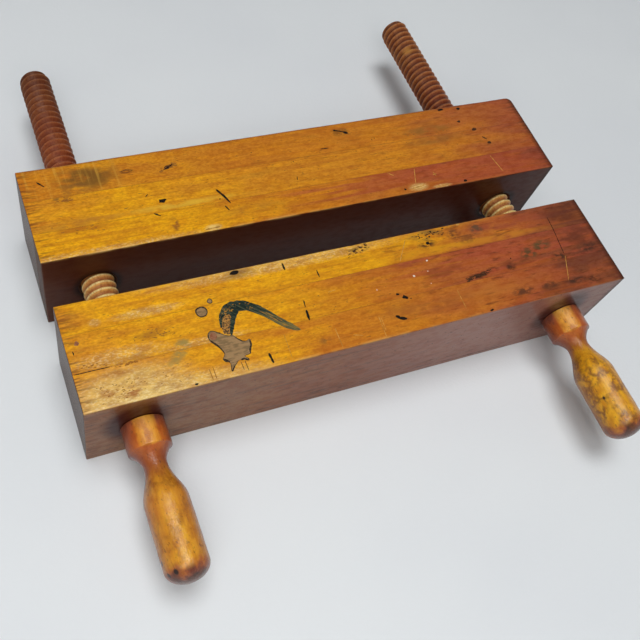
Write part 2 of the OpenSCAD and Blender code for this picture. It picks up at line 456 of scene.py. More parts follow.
def blob(x, y, radius, seed, stretch=1.0, turn=0.0):
    """An irregular round outline, longer along the given direction in degrees."""
    rng = random.Random(seed)
    along = Vector((math.cos(math.radians(turn)), math.sin(math.radians(turn))))
    across = Vector((-along.y, along.x))
    corners = []
    for i in range(BLOB_CORNERS):
        a = 2 * math.pi * i / BLOB_CORNERS
        r = radius * rng.uniform(*BLOB_CHANGE)
        corners.append(Vector((x, y)) + along * (r * stretch * math.cos(a)) + across * (r * math.sin(a)))
    return closed_curve(corners, BLOB_RAGGED * radius, seed, steps=4)


def stroke(points, width, seed):
    """The outline of a hand-drawn line that swells and thins."""
    rng = random.Random(seed)
    path = []
    for a, b in zip(points, points[1:]):
        length = math.dist(a, b)
        count = max(2, round(length / STROKE_STEP))
        path += [Vector(a).lerp(Vector(b), i / count) for i in range(count)]
    path.append(Vector(points[-1]))
    left, right = [], []
    for i, point in enumerate(path):
        ahead = (path[min(i + 1, len(path) - 1)] - path[max(i - 1, 0)]).normalized()
        side = Vector((-ahead.y, ahead.x))
        half = width / 2 * rng.uniform(*STROKE_CHANGE) * (STROKE_END if i in (0, len(path) - 1) else 1)
        left.append(point + side * half)
        right.append(point - side * half)
    return left + right[::-1]


def brushed(path, ragged, seed):
    """The outline of a pull of the brush through points given as x, y and width."""
    left, right = [], []
    for i, (x, y, width) in enumerate(path):
        before, after = path[max(i - 1, 0)], path[min(i + 1, len(path) - 1)]
        ahead = (Vector(after[:2]) - Vector(before[:2])).normalized()
        side = Vector((-ahead.y, ahead.x)) * (width / 2)
        left.append(Vector((x, y)) + side)
        right.append(Vector((x, y)) - side)
    return closed_curve(left + right[::-1], ragged, seed)


def grown(outline, distance, uneven=0.0):
    """An outline moved outwards by a distance that may change along it."""
    area = sum(a.x * b.y - a.y * b.x for a, b in zip(outline, outline[1:] + outline[:1]))
    turn = 1 if area > 0 else -1
    moved = []
    for before, point, after in zip(outline[-1:] + outline[:-1], outline, outline[1:] + outline[:1]):
        ahead = (after - before).normalized()
        reach = distance * (1 + uneven * wander(*point, 7, RIM_SIZE))
        moved.append(point + Vector((ahead.y, -ahead.x)) * (turn * reach))
    return moved


def strewn(path, width, count, radius, seed, stretch=2.2):
    """Small flecks along the grain, strewn over a band that follows a path."""
    rng = random.Random(seed)
    flecks = []
    for number in range(count):
        leg = rng.randrange(len(path) - 1)
        point = Vector(path[leg]).lerp(Vector(path[leg + 1]), rng.random())
        spread = Vector((rng.uniform(-0.5, 0.5), rng.uniform(-0.5, 0.5))) * width
        size = radius * rng.uniform(*FLECK_CHANGE)
        turn = rng.uniform(-FLECK_TURN, FLECK_TURN)
        flecks.append(blob(*(point + spread), size, seed + number, stretch, turn))
    return flecks


def film(name, body, outlines, height, material):
    """A thin film from outlines on a jaw's top; the height is its share of the film layer."""
    bottom = (WOOD_TOP - FILM_ROOT) * MM
    work = bmesh.new()
    for number, outline in enumerate(outlines):
        top = (WOOD_TOP + FILM_LAYER * height + FILM_STEP * number) * MM
        low = [work.verts.new((p[0] * MM, p[1] * MM, bottom)) for p in outline]
        high = [work.verts.new((p[0] * MM, p[1] * MM, top)) for p in outline]
        work.faces.new(high)
        work.faces.new(low[::-1])
        for i in range(len(outline)):
            j = (i + 1) % len(outline)
            work.faces.new((low[i], low[j], high[j], high[i]))
    bmesh.ops.recalc_face_normals(work, faces=work.faces)
    bmesh.ops.triangulate(work, faces=[face for face in work.faces if len(face.verts) > 4])
    mesh = bpy.data.meshes.new(name)
    work.to_mesh(mesh)
    work.free()
    mesh.materials.append(material)
    made = bpy.data.objects.new(name, mesh)
    bpy.context.scene.collection.objects.link(made)
    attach(made, body)


# Materials

def srgb(code):
    """An sRGB hex colour as linear red, green, blue and alpha."""
    channels = [int(code[i:i + 2], 16) / 255 for i in (1, 3, 5)]
    return (*(c / 12.92 if c <= 0.04045 else ((c + 0.055) / 1.055) ** 2.4 for c in channels), 1.0)


def add(tree, kind, inputs=None, stops=None, **settings):
    """Adds one node, sets its fields and a colour ramp's stops, and sets or links its inputs.

    An input is a socket, a node, which gives its first output, a hex colour or a plain value.
    """
    made = tree.nodes.new("ShaderNode" + kind)
    for field, value in settings.items():
        setattr(made, field, value)
    for key, value in (inputs or {}).items():
        if isinstance(value, bpy.types.Node):
            value = value.outputs[0]
        if isinstance(value, bpy.types.NodeSocket):
            tree.links.new(value, made.inputs[key])
        else:
            made.inputs[key].default_value = srgb(value) if isinstance(value, str) else value
    if stops:
        ramp = made.color_ramp.elements
        ramp.remove(ramp[1])
        ramp[0].position, ramp[0].color = stops[0][0], srgb(stops[0][1])
        for position, code in stops[1:]:
            ramp.new(position).color = srgb(code)
    return made


def new_material(name):
    """An empty material, its node tree and the place on the part in metres."""
    material = bpy.data.materials.new(name)
    material.use_nodes = True
    tree = material.node_tree
    tree.nodes.clear()
    return material, tree, add(tree, "TexCoord").outputs["Object"]


def patches(tree, place, shift, size, low, high, detail=2, number=0):
    """A mask of irregular patches, of a size in millimetres along X, Y and Z, between two noise levels.

    The shift is the piece's own and the number is the pattern's, so that no two patterns lie alike.
    """
    moved = shift + number
    scale = tuple(1 / (MM * s) for s in size)
    location = (moved, 1.7 * moved, -moved)
    scaled = add(tree, "Mapping", {"Vector": place, "Location": location, "Scale": scale})
    grains = add(tree, "TexNoise", {"Vector": scaled, "Scale": 1.0, "Detail": detail})
    inputs = {"Value": grains, "From Min": low, "From Max": high}
    return add(tree, "MapRange", inputs, interpolation_type="SMOOTHSTEP")


def close_to(tree, place, point, weight, full, none):
    """A mask that fades with the distance from a point in millimetres; a weight of 0 leaves an axis out."""
    middle = tuple(MM * c for c in point)
    offset = add(tree, "VectorMath", {0: place, 1: middle}, operation="SUBTRACT")
    weighed = add(tree, "VectorMath", {0: offset, 1: weight}, operation="MULTIPLY")
    distance = add(tree, "VectorMath", {0: weighed}, operation="LENGTH").outputs["Value"]
    inputs = {"Value": distance, "From Min": MM * none, "From Max": MM * full}
    return add(tree, "MapRange", inputs, interpolation_type="SMOOTHSTEP")


def rising(tree, place, axis, none, full):
    """A mask that rises along axis 0, 1 or 2 from one place in millimetres to another."""
    value = add(tree, "SeparateXYZ", {0: place}).outputs[axis]
    return add(tree, "MapRange", {"Value": value, "From Min": MM * none, "From Max": MM * full})


def toned(tree, along, drift, reach, stops):
    """Colours along a piece, with borders that wander by a share of its length."""
    moved = add(tree, "Math", {0: drift, 1: reach, 2: along}, operation="MULTIPLY_ADD")
    centred = add(tree, "Math", {0: moved, 1: reach / 2}, operation="SUBTRACT")
    return add(tree, "ValToRGB", {"Fac": centred}, stops=stops)


def tinted(tree, base, layers, blend="MIX"):
    """A base with layers over it in turn; each has a colour, a strength and the masks that it keeps to."""
    for colour, factor, *masks in layers:
        for mask in masks:
            factor = add(tree, "Math", {0: mask, 1: factor}, operation="MULTIPLY")
        mixed = add(tree, "Mix", {0: factor, 6: base, 7: colour}, data_type="RGBA", blend_type=blend)
        base = mixed.outputs[2]
    return base


def finished(tree, colour, roughness, height, depth, **constants):
    """Ends a material: colour, roughness, a bump of a depth in millimetres and the shader's constants."""
    bump = add(tree, "Bump", {"Height": height, "Distance": depth * MM, "Strength": 1.0})
    inputs = {"Base Color": colour, "Roughness": roughness, "Normal": bump}
    inputs.update({key.replace("_", " "): value for key, value in constants.items()})
    if "Coat_Weight" in constants:
        inputs["Coat Normal"] = bump
    shader = add(tree, "BsdfPrincipled", inputs)
    add(tree, "OutputMaterial", {"Surface": shader})


GOLD = "#ecab1a"
HONEY = "#dd9726"
AMBER = "#d08424"
COPPER = "#cc6c24"
RUSSET = "#bb6c30"
BRICK = "#ab5935"
CHESTNUT = "#7d4330"
UMBER = "#4b2c1c"
SOOT = "#1e1510"
STRAW = "#e9c878"

# Factors on red, green and blue where the wood is clearer or yellower under the varnish
CLEARER = (1.12, 1.14, 1.0, 1)
YELLOWER = (1.12, 1.18, 0.7, 1)

# Growth rings: distance of the tree's heart from a board, the rings' spacing, and their bends in radians
HEART_DISTANCE = 90.0
RING_SPACING = 3.2
RING_BEND = 7.0

# A smudge that reaches further than this along the board has a soft edge
SOFT_REACH = 15


def red_stain(tree, place, shift, node):
    """A mask of red stain that follows the grain and widens to the right."""
    edge = BOARD_BOX[node][0][1]
    band = patches(tree, place, shift, (90, 5, 20), 0.4, 0.6, 3, 17)
    right = rising(tree, place, 0, *RED_FROM[node])
    reach = add(tree, "Math", {0: band, 1: 0.7, 2: right}, operation="MULTIPLY_ADD")
    if node in FRONT_BOARDS:
        # On the handle side the board stays orange
        spared = rising(tree, place, 1, edge + 14, edge + 4)
        loss = 0.55
    else:
        # The clamping edge stays gold as far as its right end
        strip = rising(tree, place, 1, edge + 11, edge)
        right_end = rising(tree, place, 0, 100, 150)
        spared = add(tree, "Math", {0: strip, 1: right_end}, operation="SUBTRACT", use_clamp=True)
        loss = 0.8
    reach = add(tree, "Math", {0: spared, 1: -loss, 2: reach}, operation="MULTIPLY_ADD")
    return add(tree, "MapRange", {"Value": reach, "From Min": 0.75, "From Max": 1.2})


def growth_rings(tree, place, shift, node):
    """A mask of late wood, nearly upright on the ends, drawn a little wider than maple's so that it shows."""
    heart = (0, MM * (BOARD_BOX[node][0][1] - HEART_DISTANCE), MM * (AXIS_HEIGHT + 2 * shift))
    offset = add(tree, "VectorMath", {0: place, 1: heart}, operation="SUBTRACT")
    across = add(tree, "VectorMath", {0: offset, 1: (0, 1, 1)}, operation="MULTIPLY")
    distance = add(tree, "VectorMath", {0: across}, operation="LENGTH").outputs["Value"]
    per_metre = 2 * math.pi / (MM * RING_SPACING)
    turns = add(tree, "Math", {0: distance, 1: per_metre}, operation="MULTIPLY")
    uneven = patches(tree, place, shift, (60, 9, 26), 0.2, 0.8, 2, 39)
    bent = add(tree, "Math", {0: uneven, 1: RING_BEND, 2: turns}, operation="MULTIPLY_ADD")
    wave = add(tree, "Math", {0: bent}, operation="SINE")
    return add(tree, "MapRange", {"Value": wave, "From Min": 0.1, "From Max": 1.0})


def varnished_maple(node, shift):
    """Old maple under amber varnish: gold that turns red-brown to one end, a fine mottle with little grain,
    flecks and hand grime, pale rubbed places that also carry painted glare and glints, and glossy upright
    faces that mirror the cloth, darker partly from redder varnish and partly as painted shade, with painted
    shade on the clamping faces and a painted reflection of each collar on the front."""
    low, high = BOARD_BOX[node]
    material, tree, place = new_material("varnished_maple_" + node)
    facing = add(tree, "SeparateXYZ", {0: add(tree, "TexCoord").outputs["Normal"]}).outputs
    pattern = partial(patches, tree, place, shift)

    def faces(axis, none, full):
        """A mask of the faces that look along an axis, either way."""
        size = add(tree, "Math", {0: facing[axis]}, operation="ABSOLUTE")
        return add(tree, "MapRange", {"Value": size, "From Min": none, "From Max": full})

    along = rising(tree, place, 0, -JAW_END, JAW_END)
    drift = pattern((60, 16, 30), 0.2, 0.8, 3)
    colour = toned(tree, along, drift, 0.2, TONES[node])
    if node in RED_FROM:
        colour = tinted(tree, colour, [("#b0553a", 0.65, red_stain(tree, place, shift, node))])

    # Mottle and grain, drawn twice as coarse as maple's so that they show at this distance, and strongest to
    # the left; dirt in the grain to the right
    cloud = pattern((34, 11, 14), 0.4, 0.7, 3, 3)
    yellow = pattern((24, 6, 8), 0.44, 0.62, 3, 25)
    mottle = pattern((8, 3.4, 4), 0.38, 0.7, 4, 9)
    fine = pattern((2.6, 1.5, 1.5), 0.34, 0.68, 2, 13)
    fibre = pattern((30, 1.5, 1.5), 0.4, 0.7, 2, 5)
    stripe = pattern((90, 3.6, 8), 0.5, 0.7, 5, 37)
    fleck = pattern((3.5, 1.2, 1.2), 0.64, 0.74, 2, 7)
    grime = pattern((30, 12, 20), 0.6, 0.8, 5, 11)
    dirt = pattern((14, 2.4, 3), 0.54, 0.74, 5, 27)
    leftward = add(tree, "MapRange", {
        "Value": along, "From Min": 0.25, "From Max": 0.6, "To Min": 1.0, "To Max": 0.6,
    })
    rightward = add(tree, "MapRange", {"Value": along, "From Min": 0.35, "From Max": 0.75})
    colour = tinted(tree, colour, [
        (CLEARER, 0.8, cloud),
        (YELLOWER, 0.8, yellow, leftward),
        ("#cf9c62", 0.42, mottle),
        ("#c39458", 0.38, fine, leftward),
    ], "MULTIPLY")
    colour = tinted(tree, colour, [("#b45c1c", 0.38, stripe)])
    colour = tinted(tree, colour, [("#d9ac7c", 0.15, fibre)], "MULTIPLY")
    colour = tinted(tree, colour, [
        ("#7d4a1e", 0.6, fleck),
        ("#7a4a20", 0.3, grime),
        ("#5a2b18", 0.75 if node in FRONT_BOARDS else 0.35, dirt, rightward),
    ])

    # Rubbed and milky places, where the varnish has gone dull: the pale tint also paints glare, and the
    # sparkle paints glints
    painted_glint = pattern((2.2, 1.1, 1.1), 0.5, 0.62, 4, 13)
    for x, y, reach_x, reach_y, strength in RUBBED_AND_GLARE.get(node, ()):
        spot = close_to(tree, place, (x, y, 0), (1 / reach_x, 1 / reach_y, 0), 0.25, 1.0)
        colour = tinted(tree, colour, [
            (STRAW, strength, spot),
            ("#f6e2ac", 0.42, spot, painted_glint),
            ("#a8672c", 0.5, spot, mottle),
        ])

    # Smudges in the varnish
    ragged = pattern((5, 3, 3), 0.36, 0.58, 4, 15)
    soft = pattern((14, 7, 8), 0.3, 0.6, 4, 31)
    for x, y, reach_x, reach_y, code, strength in SMUDGES.get(node, ()):
        spot = close_to(tree, place, (x, y, 0), (1 / reach_x, 1 / reach_y, 0), 0.3, 1.0)
        colour = tinted(tree, colour, [(code, strength, spot, soft if reach_x > SOFT_REACH else ragged)])
    if node == "back_jaw_outer_board":
        # Pale runs of old finish across the left of the board
        run = pattern((3, 34, 34), 0.5, 0.72, 2, 15)
        colour = tinted(tree, colour, [("#dba840", 0.45, run, rising(tree, place, 0, -130, -170))])

    # Upright faces are darker and redder, partly redder varnish and partly painted shade, with streaks along
    # it
    upright = faces(2, 0.85, 0.35)
    streak = pattern((36, 30, 3.5), 0.5, 0.72, 5, 29)
    colour = tinted(tree, colour, [("#763d28", 0.85, upright), ("#3c1a10", 0.45, upright, streak)])
    if node == "front_jaw_outer_board":
        # Dustier to the right, with pinholes, dark streaky patches that grow towards the foot, and painted
        # reflection and shade of the collars
        dust = rising(tree, place, 0, -20, 80)
        pinhole = pattern((2.4, 3, 1.5), 0.66, 0.72, 2, 33)
        low_dark_patches = pattern((26, 30, 2.2), 0.56, 0.66, 4, 35)
        foot = rising(tree, place, 2, 30, 4)
        colour = tinted(tree, colour, [
            ("#a4786a", 0.55, upright, dust),
            ("#24100a", 0.85, upright, pinhole),
            ("#1e0f0a", 0.9, upright, low_dark_patches, foot),
        ])
        # Painted reflection and shade of each collar: dark red, a little up and to the left of it on the
        # front face
        for screw, strength in COLLAR_REFLECTION_SHADE.items():
            middle = (AXIS_X[screw] - 5, 0, AXIS_HEIGHT + 8)
            ring = close_to(tree, place, middle, (1, 0, 0.8), COLLAR_RADIUS, 1.8 * COLLAR_RADIUS)
            colour = tinted(tree, colour, [("#3a0f08", strength, upright, ring)])
    if node in (FRONT_BOARDS[0], BACK_BOARDS[0]):
        # The clamping faces are darkened as painted shade of the gap, most of all round the holes as a
        # painted shadow ring
        clamping = faces(1, 0.5, 0.9)
        colour = tinted(tree, colour, [("#4a1d0f", 0.88, clamping)])
        for x in AXIS_X.values():
            middle = (x, 0, AXIS_HEIGHT)
            ring = close_to(tree, place, middle, (1, 0, 1), CREST_RADIUS + 2, CREST_RADIUS + 9)
            colour = tinted(tree, colour, [("#160806", 0.85, clamping, ring)])

    # Ends of dull end grain
    end = faces(0, 0.6, 0.9)
    stained = pattern((30, 9, 2.2), 0.4, 0.65, 3, 19)
    late_wood = growth_rings(tree, place, shift, node)
    colour = tinted(tree, colour, [
        ("#4a3024", 0.9, end),
        ("#33211a", 0.6, end, stained),
        ("#1c0f0a", 0.75, end, late_wood),
    ])

    # Top edges: thin varnish on the outer ones, whose pale line also paints the edges' highlight, dirt on the
    # back one and in the glue lines
    frayed = pattern((22, 6, 6), 0.42, 0.62, 4, 21)
    thin_varnish_and_highlight = add(tree, "MapRange", {
        "Value": along, "From Min": 0.3, "From Max": 0.75, "To Min": 1.0, "To Max": 0.15,
    })
    for edge in (low[1], high[1]):
        outside = edge in (FRONT_FACE, FRONT_CLAMP_FACE, BACK_CLAMP_FACE, BACK_FACE)
        line = close_to(tree, place, (0, edge, WOOD_TOP), (0, 1, 1), 0.3, 2.6 if outside else 0.7)
        if edge == BACK_FACE:
            layer = (UMBER, 0.5, line)
        elif outside:
            layer = ("#dcae62", 0.55, line, frayed, thin_varnish_and_highlight)
        else:
            layer = (UMBER, 0.15, line)
        colour = tinted(tree, colour, [layer])

    # Short checks run in from both ends, and the right end is dark with handling
    from_middle = add(tree, "Math", {0: add(tree, "SeparateXYZ", {0: place})}, operation="ABSOLUTE")
    tip = add(tree, "MapRange", {
        "Value": from_middle, "From Min": MM * (JAW_END - 15), "From Max": MM * (JAW_END - 1),
    })
    check = pattern((18, 1.7, 1.7), 0.5, 0.62, 2, 23)
    right_edge = rising(tree, place, 0, JAW_END - 6, JAW_END - 1.2)
    colour = tinted(tree, colour, [("#5f3218", 0.65, tip, check), ("#30150d", 0.8, right_edge)])

    height = add(tree, "Math", {0: fibre, 1: 0.5, 2: fine}, operation="MULTIPLY_ADD")
    rough = add(tree, "MapRange", {"Value": mottle, "To Min": 0.34, "To Max": 0.52})
    dull = add(tree, "Math", {0: end, 1: 0.9}, operation="MULTIPLY")
    rough = add(tree, "Math", {0: rough, 1: dull}, operation="MAXIMUM")
    finished(
        tree, colour, rough, height, 0.02,
        Specular_IOR_Level=0.08, Coat_Weight=0.2 if node == BACK_BOARDS[0] else 0.36, Coat_Roughness=0.13,
    )
    return material


def varnished_handle(node, shift):
    """Turned maple under thick orange varnish: gold on the grip, redder at the neck and the collar, with a
    painted highlight along the crown and red-brown painted shade on the sides, a coarse skin that breaks up
    the highlights, dark specks and veins, and a few black nicks."""
    material, tree, place = new_material("varnished_handle_" + node)
    pattern = partial(patches, tree, place, shift)
    along = rising(tree, place, 1, SCREW_BOX[node][0][1], COLLAR_FACE)
    drift = pattern((9, 26, 9), 0.2, 0.8, 3)
    colour = toned(tree, along, drift, 0.1, HANDLE_TONES[node])
    grip = add(tree, "MapRange", {"Value": along, "From Min": 0.7, "From Max": 0.6})
    collar = add(tree, "MapRange", {"Value": along, "From Min": 0.65, "From Max": 0.8})

    # Painted highlight on the crown and painted shade on the sides, as lit from a set direction for each
    # handle
    axis = (MM * AXIS_X[node], 0, MM * AXIS_HEIGHT)
    offset = add(tree, "VectorMath", {0: place, 1: axis}, operation="SUBTRACT")
    lit_side = HANDLE_LIT_SIDE[node]
    rise = add(tree, "VectorMath", {0: offset, 1: lit_side}, operation="DOT_PRODUCT").outputs["Value"]
    radius = MM * GRIP_RADIUS
    painted_crown_highlight = add(tree, "MapRange", {"Value": rise, "From Min": 0.86 * radius, "From Max": radius})
    side = add(tree, "MapRange", {"Value": rise, "From Min": 0.92 * radius, "From Max": 0.05 * radius})

    fibre = pattern((1.6, 22, 1.6), 0.4, 0.7, 2, 3)
    mottle = pattern((6, 9, 6), 0.42, 0.7, 4, 5)
    grime = pattern((11, 16, 11), 0.42, 0.62, 5, 7)
    fleck = pattern((1.8, 3.2, 1.8), 0.62, 0.72, 2, 9)
    skin = pattern((1.1, 1.1, 1.1), 0.3, 0.7, 2, 11)
    # Veins lie where a slow pattern crosses its middle level
    level = pattern((7, 9, 7), 0.0, 1.0, 4, 13)
    crossing = add(tree, "Math", {0: level, 1: 0.5}, operation="SUBTRACT")
    distance = add(tree, "Math", {0: crossing}, operation="ABSOLUTE")
    vein = add(tree, "MapRange", {"Value": distance, "From Min": 0.2, "From Max": 0.02})
    # Painted highlight on the crown and painted shade on the sides, strongest on the collar
    colour = tinted(tree, colour, [
        ("#f0b42c", 0.5, painted_crown_highlight),
        ("#f2ae40", 0.7, painted_crown_highlight, collar),
        ("#74391a", 0.66, side),
        ("#6c2817", 0.8, side, collar),
    ])
    colour = tinted(tree, colour, [("#d9a878", 0.3, fibre), ("#c48a5c", 0.45, mottle)], "MULTIPLY")
    colour = tinted(tree, colour, [
        ("#a04a1c", 0.35, mottle, collar),
        (UMBER, 0.5, fleck),
        ("#74401c", HANDLE_VEINS[node], vein, grime, grip),
    ])
    for x, y, z, size in HANDLE_NICKS[node]:
        middle = (AXIS_X[node] + x, COLLAR_FACE + y, AXIS_HEIGHT + z)
        nick = close_to(tree, place, middle, (1, 0.7, 1), 0.5 * size, size)
        colour = tinted(tree, colour, [(SOOT, 0.95, nick)])
    rough = add(tree, "MapRange", {"Value": mottle, "To Min": 0.3, "To Max": 0.5})
    finished(tree, colour, rough, skin, 0.12, Specular_IOR_Level=0.12, Coat_Weight=0.7, Coat_Roughness=0.17)
    return material


def waxed_thread(node, shift):
    """Bare maple thread: cream where it turns in the gap, orange-brown with old wax on the tail, where some
    places are rubbed golden; the roots are darkened by dirt and painted shade, red-brown in the gap and dark
    on the tail, and the crests carry a painted highlight."""
    material, tree, place = new_material("waxed_thread_" + node)
    pattern = partial(patches, tree, place, shift)
    # Roots and crests, told apart by their distance from the screw's axis: the roots take dirt and painted
    # shade, the crests a painted highlight
    axis = (AXIS_X[node], 0, AXIS_HEIGHT)
    root_dirt_and_shade = close_to(tree, place, axis, (1, 0, 1), CREST_RADIUS - THREAD_DEPTH, CREST_RADIUS - 0.4)
    crest_highlight = close_to(tree, place, axis, (1, 0, 1), CREST_RADIUS - 0.15, CREST_RADIUS - 0.7)
    drift = pattern((14, 22, 14), 0.35, 0.65, 4)
    fibre = pattern((1.6, 6, 1.6), 0.4, 0.7, 2, 3)
    pale = tinted(tree, "#fac068", [("#e69c4c", 0.6, drift), ("#9c5530", 0.8, root_dirt_and_shade), ("#ffeca4", 0.8, crest_highlight)])

    at_jaw, at_tip = TAIL_TONES[node]
    contrast = TAIL_CONTRAST[node]
    outward = rising(tree, place, 1, BACK_FACE, SCREW_BOX[node][1][1])
    dark = tinted(tree, at_jaw, [(at_tip, 1.0, outward)])
    dark = tinted(tree, dark, [("#d9a48c", 0.5, drift)], "MULTIPLY")
    dark = tinted(tree, dark, [("#4c2013", 0.75 * contrast, root_dirt_and_shade), ("#c88a54", 0.4 * contrast, crest_highlight)])

    # The tail's colour starts inside the gap: stain that also paints the shade near the back jaw
    colour = tinted(tree, pale, [(dark, 1.0, rising(tree, place, 1, BACK_CLAMP_FACE - 25, BACK_FACE))])
    colour = tinted(tree, colour, [("#c08f6c", 0.5, fibre)], "MULTIPLY")
    for x, y, z, size in RUBBED_THREAD.get(node, ()):
        middle = (AXIS_X[node] + x, y, AXIS_HEIGHT + z)
        spot = close_to(tree, place, middle, (1, 1.4, 1), 0.3 * size, size)
        colour = tinted(tree, colour, [("#b98038", 0.8, spot)])
    rough = add(tree, "MapRange", {"Value": drift, "To Min": 0.34, "To Max": 0.5})
    finished(tree, colour, rough, fibre, 0.08, Specular_IOR_Level=0.2)
    return material


def flat_stain(name, colour, other, size, roughness, depth):
    """A stain or paint of two colours in patches of a size in millimetres, with its least roughness and the
    depth of its bump."""
    material, tree, place = new_material(name)
    worn = patches(tree, place, 0, size, 0.42, 0.62, 4)
    fine = patches(tree, place, 0, (1.2, 1.2, 1.2), 0.3, 0.8)
    mixed = tinted(tree, colour, [(other, 1.0, worn)])
    rough = add(tree, "MapRange", {"Value": fine, "To Min": roughness, "To Max": roughness + 0.15})
    finished(tree, mixed, rough, fine, depth, Specular_IOR_Level=0.12)
    return material


def dragged_paint():
    """Dark green paint dragged to the right: thick and almost black at first, then streaks along its path,
    then a thin olive veil with the wood showing through."""
    pull = math.radians(41)
    material, tree, place = new_material("dragged_green_paint")
    turned = add(tree, "VectorRotate", {"Vector": place, "Angle": pull}, rotation_type="Z_AXIS").outputs[0]
    streak = patches(tree, turned, 0, (8, 1, 3), 0.3, 0.7, 3)
    fine = patches(tree, place, 0, (1.4, 1.4, 1.4), 0.3, 0.8)
    thinned = add(tree, "Math", {0: rising(tree, place, 0, -92, -61), 1: 0.5}, operation="MULTIPLY")
    bare = add(tree, "Math", {0: streak, 1: 0.46, 2: thinned}, operation="MULTIPLY_ADD")
    colour = add(tree, "ValToRGB", {"Fac": bare}, stops=[
        (0.0, "#101d18"), (0.25, "#23322a"), (0.4, "#434a38"), (0.58, "#675f3a"), (0.76, "#84703c"),
        (1.0, "#b08a38"),
    ])
    rough = add(tree, "MapRange", {"Value": fine, "To Min": 0.42, "To Max": 0.6})
    finished(tree, colour, rough, fine, 0.03, Specular_IOR_Level=0.12)
    return material


def table_cloth():
    """Plain white cotton, matt, with a faint cool shade that changes slowly."""
    material, tree, place = new_material("white_table_cloth")
    slow = patches(tree, place, 0, (260, 180, 100), 0.3, 0.7)
    weave = patches(tree, place, 0, (2.5, 2.5, 2.5), 0.3, 0.7)
    colour = tinted(tree, "#e7eaec", [("#e3e6e9", 1.0, slow)])
    rough = add(tree, "MapRange", {"Value": weave, "To Min": 0.88, "To Max": 0.96})
    finished(tree, colour, rough, weave, 0.04, Specular_IOR_Level=0.15)
    return material


# Colours along each board from the left end to the right
TONES = {
    "front_jaw_inner_board": [
        (0.0, HONEY), (0.06, GOLD), (0.56, GOLD), (0.68, AMBER), (0.78, RUSSET), (0.87, BRICK),
        (0.95, CHESTNUT),
    ],
    "front_jaw_middle_board": [
        (0.0, HONEY), (0.1, GOLD), (0.3, GOLD), (0.48, AMBER), (0.66, RUSSET), (0.78, BRICK),
        (0.88, BRICK), (0.95, CHESTNUT),
    ],
    "front_jaw_outer_board": [
        (0.0, HONEY), (0.28, GOLD), (0.42, AMBER), (0.52, AMBER), (0.7, RUSSET), (0.84, BRICK),
        (0.95, CHESTNUT),
    ],
    "back_jaw_inner_board": [
        (0.0, GOLD), (0.3, GOLD), (0.42, AMBER), (0.52, AMBER), (0.68, RUSSET), (0.8, BRICK),
        (0.94, BRICK), (1.0, CHESTNUT),
    ],
    "back_jaw_middle_board": [
        (0.0, HONEY), (0.15, GOLD), (0.4, HONEY), (0.72, AMBER), (0.88, RUSSET), (1.0, BRICK),
    ],
    "back_jaw_outer_board": [
        (0.0, AMBER), (0.15, HONEY), (0.4, AMBER), (0.68, AMBER), (0.84, RUSSET), (1.0, BRICK),
    ],
}

# Places where the finish is rubbed or milky, which also paint glare: middle, reach along and across, strength
RUBBED_AND_GLARE = {
    "front_jaw_outer_board": [(-195, -158, 60, 26, 0.65), (-160, -166, 90, 14, 0.5)],
    "front_jaw_middle_board": [(-132, -134, 40, 5, 0.2), (-195, -130, 45, 9, 0.22)],
    "front_jaw_inner_board": [(-57, -84, 130, 8, 0.3), (-166, -100, 34, 5, 0.3), (-204, -100, 6, 4, 0.3)],
    "back_jaw_inner_board": [
        (-189, -42, 120, 5, 0.15), (-95, -40, 9, 4, 0.8), (90, -38, 12, 5, 0.6), (112, -41, 12, 2.5, 0.5),
    ],
}

